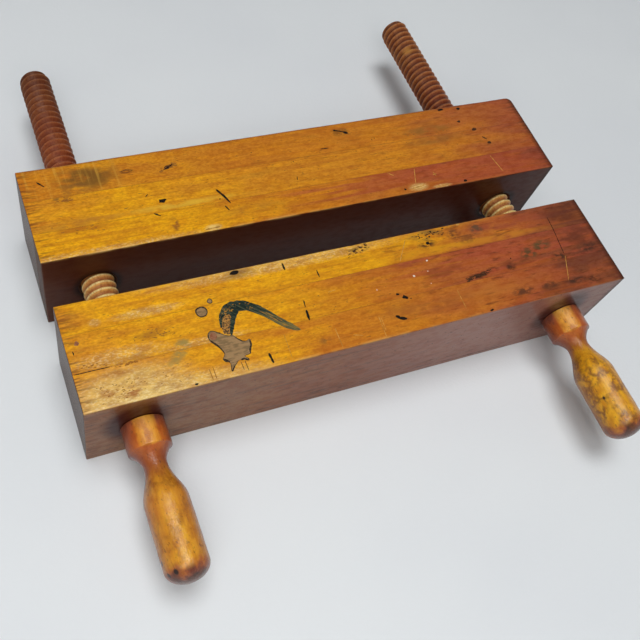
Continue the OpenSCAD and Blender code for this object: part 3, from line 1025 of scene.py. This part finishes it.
# Smudges: middle, reach along and across, colour, strength
SMUDGES = {
    "front_jaw_outer_board": [
        (-152, -137, 7, 6, "#978248", 0.7), (-156, -141, 7, 5, "#978248", 0.7),
        (-160, -145, 6, 4, "#978248", 0.5), (-194, -159, 12, 5, "#a5602a", 0.8),
        (-210, -155, 10, 4, "#a5602a", 0.7), (-200, -142, 14, 3, "#a8682a", 0.7),
        (-47, -156, 7, 4, "#8a5a28", 0.6), (21, -146, 30, 10, "#9a5a28", 0.4),
        (131, -155.5, 14, 5, "#4e3020", 0.8), (157, -156.2, 14, 5, "#4e3020", 0.8),
        (184, -157, 15, 4, "#40281c", 0.85), (200, -160, 10, 6, "#402418", 0.8),
        (60, -150, 40, 8, "#8a4a28", 0.4), (105, -146, 40, 9, "#bb7030", 0.5),
    ],
    "front_jaw_middle_board": [
        (-149, -132, 8, 6, "#978248", 0.85), (-190, -134, 40, 5, "#a5682a", 0.7),
        (-165, -119, 24, 6, "#a4661e", 0.75), (98, -133, 13, 3.5, "#2e1c12", 0.95),
        (115, -130, 9, 3, "#3c2416", 0.7), (155, -123, 12, 8, "#4e4226", 0.85),
        (170, -118, 13, 7, "#52482a", 0.85), (180, -132.5, 11, 6, "#3c2a1c", 0.85),
        (212, -130, 14, 7, "#3c2a1e", 0.8), (132, -131.5, 6, 5, "#3a2416", 0.9),
        (50, -109, 20, 4, "#8e3a2c", 0.8), (75, -122, 30, 7, "#7a3a22", 0.6),
        (140, -128, 24, 6, "#5e321f", 0.6), (200, -115, 18, 8, "#5e321f", 0.6),
        (214, -118, 22, 20, "#552a1c", 0.6),
    ],
    "front_jaw_inner_board": [
        (150, -91, 60, 7, "#9c4a30", 0.7), (125, -82, 40, 3, "#c27a2a", 0.5),
        (70, -101, 75, 5, "#d9961a", 0.85), (140, -102.5, 60, 4.5, "#c67c26", 0.85),
        (185, -104.5, 40, 3.5, "#b0642c", 0.8), (74, -86, 22, 7, "#6f5a30", 0.85),
        (70, -94, 11, 5, "#4a2a1c", 0.95), (98, -90, 9, 7, "#5a3422", 0.85),
        (120, -89.5, 9, 7, "#5d4632", 0.85), (205, -92, 26, 22, "#552a1c", 0.6),
        (10, -86, 14, 4, "#5a4020", 0.7), (108, -97, 14, 6, "#5a3a20", 0.5),
        (-92, -85, 20, 6, "#7a5528", 0.6),
    ],
    "back_jaw_inner_board": [
        (-123, -31, 4, 9, "#8d5024", 0.9), (-57, -29, 40, 6, "#a5642a", 0.4),
        (-195, -19.5, 36, 4, "#a5561e", 0.6),
    ],
    "back_jaw_middle_board": [
        (-203, 10, 6, 4, "#7d5a2a", 0.8), (-196, 9, 5, 4, "#7d5a2a", 0.8),
        (-195, -14, 40, 6, "#b0752a", 0.6), (-112, -13, 70, 4, "#e2b43a", 0.7),
        (128, 8, 40, 6, "#8a5f2a", 0.5),
    ],
    "back_jaw_outer_board": [
        (-178, 27, 34, 18, "#75501f", 0.9), (-190, 18, 20, 8, "#8a5a28", 0.7),
        (-145, 27, 8, 3, "#94551c", 0.9), (45, 33, 12, 6, "#5a3418", 0.6),
        (128, 20, 36, 6, "#8a6428", 0.6),
    ],
}

# Where the red stain starts along a board and where it covers it
RED_FROM = {"back_jaw_inner_board": (-70, 60), "front_jaw_middle_board": (-10, 110)}

# Black nicks on the handles, as offsets from the screw's axis and collar face, with their radius
HANDLE_NICKS = {
    "left_screw": [
        (-9.8, -110.2, 11.8, 2.2), (-14.1, -110.2, 6.0, 1.9), (-16.0, -100.9, 3.8, 1.6),
        (-11.0, -44.1, 1.8, 1.4),
    ],
    "right_screw": [(-12.4, -84, 10.4, 1.3)],
}

# Strength of the dark veins on the grips
HANDLE_VEINS = {"left_screw": 0.4, "right_screw": 0.8}

# Colours along each handle from its end to the jaw, where the left handle's soot-black tip also paints the
# shade under its dome, and the direction from which the painted highlight and side shade are lit
HANDLE_TONES = {
    "left_screw": [
        (0.0, SOOT), (0.015, UMBER), (0.04, CHESTNUT), (0.07, RUSSET), (0.11, HONEY), (0.3, HONEY),
        (0.42, AMBER), (0.6, HONEY), (0.72, RUSSET), (0.8, COPPER), (0.9, COPPER), (0.96, BRICK),
        (1.0, CHESTNUT),
    ],
    "right_screw": [
        (0.0, UMBER), (0.03, UMBER), (0.055, CHESTNUT), (0.08, RUSSET), (0.115, GOLD), (0.66, GOLD),
        (0.74, AMBER), (0.8, COPPER), (0.92, COPPER), (0.97, BRICK), (1.0, CHESTNUT),
    ],
}
HANDLE_LIT_SIDE = {"left_screw": (-0.05, 0, 1.0), "right_screw": (-0.45, 0, 0.89)}

# Strength of the painted reflection and shade of each collar on the front jaw
COLLAR_REFLECTION_SHADE = {"left_screw": 0.95, "right_screw": 0.9}

# Places of the threads that are rubbed clean: offset across, place along, offset up, reach
RUBBED_THREAD = {"right_screw": [(-6.7, 149.2, 11.6, 8)]}

# Tails behind the back jaw: colours at the jaw and at the tip, and how strongly the roots' dirt and painted
# shade and the crests' painted highlight show
TAIL_TONES = {"left_screw": ("#a85a32", "#6e3f22"), "right_screw": ("#8c4428", "#a86c38")}
TAIL_CONTRAST = {"left_screw": 0.4, "right_screw": 1.0}

# Assembly

# Shifts of the patterns, so that no two boards and no two screws look alike
BOARD_SHIFT = 10.0
BACK_SHIFT = 5.0
SCREW_SHIFT = 20.0

for place, (front, back) in enumerate(zip(FRONT_BOARDS, BACK_BOARDS)):
    glued_inside, glued_outside = place > 0, place < 2
    for node, body, glued_low, glued_high, cutter in (
        (front, "front_jaw", glued_outside, glued_inside, journal_bore),
        (back, "back_jaw", glued_inside, glued_outside, tapped_hole),
    ):
        board = board_blank(node, glued_low, glued_high)
        cutters = [cutter(x) for x in AXIS_X.values()]
        cut(board, cutters)
        for used in cutters:
            bpy.data.objects.remove(used)
        board.data.materials.clear()
        shift = BOARD_SHIFT * place + (BACK_SHIFT if body == "back_jaw" else 0)
        board.data.materials.append(varnished_maple(node, shift))
        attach(board, body)
        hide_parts(node)

for number, node in enumerate(SCREWS):
    handle = turned_solid(node + "_handle", AXIS_X[node], handle_profile())
    handle.data.materials.append(varnished_handle(node, SCREW_SHIFT * number))
    thread = screw_thread(node)
    thread.data.materials.append(waxed_thread(node, SCREW_SHIFT * number))
    for piece in (handle, thread):
        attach(piece, node)
    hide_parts(node)

GREEN_PAINT = dragged_paint()

# Stains and wear, each in two tones that lie in patches: worn paint with the wood coming through, dull grey
# stripped wood, near-black rims, red-brown drops, black ink, brown and dark dirt, cream splashes, and pale
# scratches and gold flecks of bare wood
WORN_PAINT = flat_stain("worn_off_paint", "#b3803f", "#4c3a28", (1.6, 1.3, 2), 0.6, 0.03)
BARE_WOOD = flat_stain("stripped_grey_wood", "#a28159", "#816848", (6, 1.8, 3), 0.7, 0.05)
DARK_RIM = flat_stain("dark_stain_rim", "#241c15", "#4a3a27", (2, 2, 2), 0.5, 0.02)
RED_DROP = flat_stain("red_brown_drop", "#96664a", "#8a5236", (2, 2, 2), 0.5, 0.02)
INK = flat_stain("black_ink", "#0c0806", "#1c120c", (2, 2, 2), 0.5, 0.02)
DIRT = flat_stain("brown_dirt", "#8f5820", "#a86e26", (2, 1.4, 2), 0.5, 0.02)
DARK_DIRT = flat_stain("dark_brown_dirt", "#3a2114", "#57351c", (2, 1.4, 2), 0.5, 0.02)
SPLASH = flat_stain("white_paint_splash", "#efe8da", "#dccfb8", (2, 2, 2), 0.5, 0.02)
SCRATCH = flat_stain("bare_scratch", "#d09c4c", "#ab7630", (3, 3, 3), 0.6, 0.02)
GOLD_WOOD = flat_stain("gold_wood_flecks", "#bd8626", "#a06a22", (3, 1.5, 2), 0.5, 0.02)

smear = brushed([
    (-62.6, -142, 2.4), (-69.8, -136.4, 5.8), (-76.3, -129.5, 6.2), (-82.8, -122.5, 7),
    (-90.3, -115.7, 7.6), (-98, -112.2, 8.8), (-104.4, -111.8, 9.6), (-109.6, -113.2, 8.6),
    (-112.4, -114.6, 5),
], 0.5, 1)
smear_legs = [
    brushed([(-110.6, -113, 5.4), (-115, -117, 3.4), (-117, -121.2, 2.5), (-118.2, -125.8, 1.2)], 0.5, 5),
    brushed([(-105.2, -114.5, 7.6), (-106.8, -120, 4.2), (-109.8, -126.2, 3.3), (-113, -133.4, 1.8)], 0.5, 6),
]
worn_leg = closed_curve([
    (-115.5, -118.5), (-111, -115.5), (-108.5, -118), (-110, -123.5), (-113.5, -132.5), (-117.5, -131.5),
    (-118, -127),
], 0.5, 2)
film("green_paint_smear", "front_jaw", [smear] + smear_legs, 0.55, GREEN_PAINT)
film("worn_paint", "front_jaw", [worn_leg], 0.4, WORN_PAINT)
film("worn_smear_flecks", "front_jaw", (
    strewn([(-106, -112), (-112.5, -115.5)], 5, 26, 0.3, 200)
    + strewn([(-100, -111), (-88, -117)], 5, 10, 0.25, 230)
    + strewn([(-117, -122), (-112, -113.5), (-103, -109.5)], 5, 34, 0.2, 270, 1.3)
    + [
        stroke([(-86.5, -119.5), (-82, -123.8)], 0.5, 91),
        stroke([(-82, -121.8), (-77.5, -126.6)], 0.5, 92),
        stroke([(-80.2, -126.4), (-75.4, -131.4)], 0.7, 93),
        stroke([(-75.8, -128.6), (-72.4, -132.4)], 0.5, 94),
        stroke([(-73.4, -134.2), (-70.2, -137.2)], 0.6, 95),
    ]
), 0.68, GOLD_WOOD)

bare_patch = closed_curve([
    (-126, -127.5), (-121, -130.5), (-116, -134), (-112.5, -134.5), (-107.5, -140.3), (-104.5, -141.3),
    (-101.5, -140.5), (-101.8, -145), (-104.3, -149), (-105, -151.3), (-109.5, -152.3), (-107.5, -156),
    (-113.5, -154.5), (-118.5, -157.5), (-122, -161.5), (-121, -155.5), (-124, -152.5), (-125, -150.5),
    (-122.7, -147), (-124.7, -141.5), (-128.7, -136.2), (-130, -131), (-129, -128.5),
], 0.3, 2)
ring_spot = closed_curve([
    (-128.1 + 3.7 * math.cos(math.radians(a)), -110.3 + 3.6 * math.sin(math.radians(a)))
    for a in range(0, 360, 40)
], 0.3, 3)
red_drop = blob(-126.4, -131, 3.1, 4)
small_spot = blob(-119.5, -102.9, 1.6, 11)
film("bare_patches", "front_jaw", [bare_patch, ring_spot, small_spot], 0.7, BARE_WOOD)
film("red_brown_spots", "front_jaw", [red_drop, blob(-219.9, -113.4, 1.9, 63)], 0.78, RED_DROP)
film("bare_patch_rims", "front_jaw", [
    grown(bare_patch, 0.45, 1.2), grown(ring_spot, 1, 0.5), grown(small_spot, 0.6, 1.2),
    stroke([(-113.6, -156), (-113.4, -162.6)], 0.5, 75),
    stroke([(-110.6, -156), (-110.4, -164.4)], 0.5, 76),
], 0.6, DARK_RIM)
film("bare_patch_edges", "front_jaw", [
    stroke([(-128.5, -128.5), (-130, -131.5), (-129.5, -134.5)], 0.8, 70),
    stroke([(-129.5, -134.5), (-127, -137.5), (-125.5, -140), (-123.5, -144), (-122.8, -147)], 1.3, 71),
    stroke([(-125.5, -150.5), (-123.5, -152.8), (-121.3, -154)], 2, 72),
    stroke([(-101.6, -141), (-101.8, -145), (-104, -148.5), (-104.6, -151.2)], 1.5, 73),
    stroke([(-113, -154.8), (-110.5, -154.2), (-107.6, -156.2)], 1.7, 74),
    stroke([(-118.8, -157.8), (-121, -160), (-122, -162)], 0.8, 77),
    stroke([(-111.5, -136), (-107.5, -140.5), (-104.5, -141.2)], 0.7, 78), blob(-121, -130.2, 0.7, 79),
], 0.85, DARK_RIM)

film("front_ink_marks", "front_jaw", [
    stroke([(-91.7, -154.8), (-91, -163.2)], 1.9, 1), stroke([(-50.1, -119.5), (-51, -125.4)], 1.1, 2),
    stroke([(-51.3, -127.7), (-52.1, -136.7)], 2.2, 3), stroke([(-29.9, -96.1), (-30, -102.8)], 1.3, 4),
    stroke([(-54.3, -83.7), (-54.3, -90.3)], 1.5, 5), stroke([(-224, -118.6), (-223.8, -121.7)], 0.9, 6),
    stroke([(-227.4, -136.3), (-214, -136.2), (-203, -136.3)], 0.7, 7),
    blob(25.1, -132.4, 1, 8, 1.6, -20), blob(30, -136.3, 1.7, 9, 1.6, -30), blob(34.2, -138.4, 0.6, 10),
    blob(16.6, -151.2, 1.4, 11, 1.5, -40), blob(19.8, -153.4, 1.7, 19, 1.6, -20),
    blob(22.4, -154.2, 0.8, 20), blob(-93.9, -83.4, 1.8, 12, 2.4, 5), blob(78.8, -83.6, 1, 13),
    blob(71.5, -93.4, 1.3, 14, 1.5, 20),
    stroke([(191.2, -93.1), (190.5, -104.4), (186.5, -130.9)], 0.6, 15),
    blob(-149.4, -164.6, 0.9, 16, 1.6, 0), blob(95.5, -164.8, 0.9, 17, 2, 0), blob(136, -124, 0.7, 18),
], 0.6, INK)
film("front_dark_dirt", "front_jaw", (
    strewn([(-2, -89), (20, -84.5)], 6, 24, 0.5, 300) + strewn([(60, -86.5), (90, -85.5)], 6, 30, 0.5, 330)
    + strewn([(88, -134.5), (112, -131)], 3.4, 44, 0.55, 420, 3)
), 0.5, DARK_DIRT)
film("front_dirt_marks", "front_jaw", (
    strewn([(-222, -131), (-204, -133.5)], 3.4, 14, 0.4, 360)
    + strewn([(-178, -117.5), (-151, -120)], 9, 30, 0.4, 380)
    + strewn([(-203, -136.8), (-184, -137.2)], 1.6, 16, 0.5, 400)
    + strewn([(-215, -155), (-186, -158)], 12, 34, 0.3, 440)
    + strewn([(-40, -110), (60, -150)], 30, 22, 0.3, 460) + [
        blob(-47.3, -156, 1.4, 62), stroke([(-137.4, -155.5), (-137.2, -164.4)], 0.6, 51),
        stroke([(-134.4, -154.5), (-134.6, -164.6)], 0.6, 52),
    ]
    + strewn([(-214, -156), (-150, -153)], 14, 50, 0.26, 500, 2.6)
), 0.4, DIRT)
film("back_ink_marks", "back_jaw", [
    stroke([(-81.5, -4.8), (-77.3, -12.5), (-74.3, -20)], 2, 21),
    stroke([(-79.6, -21.9), (-77.6, -26.6)], 1.7, 22), blob(-81.5, -14.6, 0.6, 23),
    blob(-126.3, -6.9, 1.9, 24, 1.7, 10), stroke([(-136.3, -17.3), (-131.7, -20.6)], 1.2, 25),
    stroke([(-116.6, 22.8), (-112.4, 24.6), (-108.3, 26.7)], 1.2, 26),
    stroke([(-215, 30), (-210.3, 24.6)], 1.3, 27), stroke([(-10.8, -5.9), (-12, -9.4)], 1.2, 28),
    stroke([(39.9, 36), (45.6, 33.8), (51.5, 30.6)], 1.3, 29), blob(50, 31.3, 1.6, 47, 1.6, -28),
    blob(41.2, 35.5, 1, 48, 1.7, -20), stroke([(20.4, 18.2), (27.9, 17.9)], 1.1, 30),
    blob(70.4, 19.3, 0.6, 31), blob(73.4, 20.6, 0.5, 32), blob(150.9, 40.4, 1.2, 33, 2.4, 0),
    blob(169.1, 38.4, 1.2, 34, 1.6, 0), blob(135.7, -40.4, 1.2, 35, 1.5, 0),
    stroke([(-138.2, -0.6), (-135.7, 1.7)], 0.8, 36), blob(77, -38, 1, 37), blob(-40, 26, 0.5, 38),
    blob(-8, 10, 0.5, 39),
], 0.6, INK)
film("back_dirt_marks", "back_jaw", (
    strewn([(-204, 11.5), (-194, 8.5)], 4, 16, 0.5, 550)
    + strewn([(-215, -15.6), (-172, -22)], 6, 18, 0.35, 570)
    + strewn([(40, 36), (52, 30)], 7, 16, 0.45, 590) + strewn([(100, 21), (155, 19.5)], 8, 14, 0.4, 610)
    + strewn([(-60, 5), (90, 5)], 50, 26, 0.3, 630) + strewn([(-118, 22.5), (-107, 27)], 3.5, 14, 0.8, 660)
    + [stroke([(-157.4, -8.3), (-153.7, -7.7)], 0.8, 68)]
), 0.4, DIRT)
film("back_dark_marks", "back_jaw", [
    stroke([(176.1, 3), (179.5, -0.7)], 1.6, 64), blob(172.7, 12.5, 1.6, 65, 1.6, 20),
    blob(179.9, -4.6, 1.5, 66, 1.4, 0), blob(162.4, 23.9, 1.2, 67, 1.5, 0),
    blob(-113, 25, 1.7, 69, 1.9, 25), blob(-108.5, 26.6, 1.1, 70, 1.6, 40),
    stroke([(-151, 27.4), (-146, 28.8), (-140.5, 27.2), (-146, 25.6), (-150.6, 26.6)], 0.6, 71),
], 0.5, DARK_DIRT)
film("paint_splashes", "front_jaw", [
    blob(45.8, -120, 0.95, 41), blob(63.1, -108.9, 0.85, 42), blob(59.3, -118.5, 0.45, 43),
    blob(56.8, -129.8, 0.45, 44), blob(10.3, -124.7, 0.5, 45),
], 0.6, SPLASH)
film("front_scratches", "front_jaw", [
    stroke([(1.7, -147.1), (0.5, -164.6)], 0.5, 53), stroke([(3.2, -147.6), (2.4, -160)], 0.4, 54),
    stroke([(-35.8, -148), (-36, -164)], 0.6, 55), stroke([(53.8, -86.2), (40.4, -104.5)], 0.6, 56),
    stroke([(-28.7, -117.1), (-22.1, -116.6)], 0.6, 57),
    stroke([(75.4, -140.7), (74.9, -158.1)], 0.6, 58),
    stroke([(-24.3, -156.8), (-16.8, -159.2)], 0.5, 59),
    stroke([(186.4, -132.9), (176.1, -155.9)], 0.5, 60),
    stroke([(-75.4, -142.8), (-76.3, -163.6)], 0.4, 70), blob(106, -82, 1, 77, 1.6, 0),
], 0.4, SCRATCH)
film("back_scratches", "back_jaw", [
    stroke([(68.6, -17.8), (73.3, -22.4)], 0.7, 81), stroke([(94.8, -18.6), (89.1, -33.7)], 0.6, 82),
    stroke([(108.6, -28.6), (113, -27.4)], 0.9, 83), stroke([(110.2, -25.6), (111.4, -30.6)], 0.9, 84),
    stroke([(172.8, -18.8), (176.5, -37.9)], 0.6, 85), stroke([(-102, -40.6), (-90, -40.4)], 1.5, 86),
    stroke([(84, -38.4), (96, -37.2)], 1.2, 87), stroke([(105, -41.2), (119, -41.2)], 0.7, 88),
], 0.4, SCRATCH)

# Stage

CLOTH_REACH = 14000
floor = new_object("table", [
    (x * CLOTH_REACH, y * CLOTH_REACH, 0) for x, y in ((-1, -1), (1, -1), (1, 1), (-1, 1))
], [(0, 1, 2, 3)])
floor.data.materials.append(table_cloth())

lens = bpy.data.cameras.new("photo_camera")
lens.sensor_width = SENSOR_WIDTH
lens.lens = FOCAL_PIXELS / IMAGE_SIDE * SENSOR_WIDTH
lens.shift_x = (IMAGE_SIDE / 2 - IMAGE_CENTRE[0]) / IMAGE_SIDE
lens.shift_y = (IMAGE_CENTRE[1] - IMAGE_SIDE / 2) / IMAGE_SIDE
lens.clip_start = NEAREST_SEEN * MM
camera = bpy.data.objects.new("photo_camera", lens)
camera.location = Vector(CAMERA_PLACE) * MM
camera.rotation_euler = Euler([math.radians(a) for a in CAMERA_TURN])
bpy.context.scene.collection.objects.link(camera)
bpy.context.scene.camera = camera

# Lamp: a soft box before the handles, to the left, with its power in watts
LAMP_PLACE = Vector((-400, -750, 1050)) * MM
LAMP_TARGET = Vector((-100, -250, 0)) * MM
LAMP_WIDTH = 900
LAMP_DEPTH = 700
LAMP_POWER = 6.3

lamp = bpy.data.lights.new("front", "AREA")
lamp.shape = "RECTANGLE"
lamp.size = LAMP_WIDTH * MM
lamp.size_y = LAMP_DEPTH * MM
lamp.energy = LAMP_POWER
softbox = bpy.data.objects.new("front", lamp)
softbox.location = LAMP_PLACE
softbox.rotation_euler = (LAMP_TARGET - LAMP_PLACE).to_track_quat("-Z", "Y").to_euler()
bpy.context.scene.collection.objects.link(softbox)

# Room: a round soft skylight with its edge in degrees, dim walls, and a pale backdrop where it is seen, which
# fades between two heights of the line of sight
SKYLIGHT = Vector((0.0, 0.08, 1.0)).normalized()
SKYLIGHT_EDGE = (18.0, 12.0)
SKYLIGHT_LEVEL = 6.9
WALL_LEVEL = 0.12
BACKDROP_LEVEL = 0.4
BACKDROP_FADE = (0.8, 0.2)
ROOM_TINT = (0.98, 0.995, 1.0, 1)

world = bpy.data.worlds.new("room")
world.use_nodes = True
room = world.node_tree
room.nodes.clear()
towards = add(room, "TexCoord").outputs["Generated"]
beside = add(room, "VectorMath", {0: towards, 1: SKYLIGHT}, operation="DOT_PRODUCT").outputs["Value"]
edge_from, edge_to = (math.cos(math.radians(a)) for a in SKYLIGHT_EDGE)
skylight = add(room, "MapRange", {
    "Value": beside, "From Min": edge_from, "From Max": edge_to,
    "To Min": WALL_LEVEL, "To Max": SKYLIGHT_LEVEL,
}, interpolation_type="SMOOTHSTEP")
lift = add(room, "SeparateXYZ", {0: towards}).outputs[2]
backdrop = add(room, "MapRange", {
    "Value": lift, "From Min": BACKDROP_FADE[0], "From Max": BACKDROP_FADE[1], "To Max": BACKDROP_LEVEL,
})
ray = add(room, "LightPath").outputs
seen = add(room, "Math", {0: ray["Is Camera Ray"], 1: ray["Is Glossy Ray"]}, operation="ADD")
seen = add(room, "Math", {0: seen, 1: ray["Is Transmission Ray"]}, operation="ADD")
level = add(room, "Math", {0: backdrop, 1: seen, 2: skylight}, operation="MULTIPLY_ADD")
light = add(room, "Background", {"Color": ROOM_TINT, "Strength": level})
add(room, "OutputWorld", {"Surface": light})
bpy.context.scene.world = world
bpy.context.scene.view_settings.view_transform = "Standard"
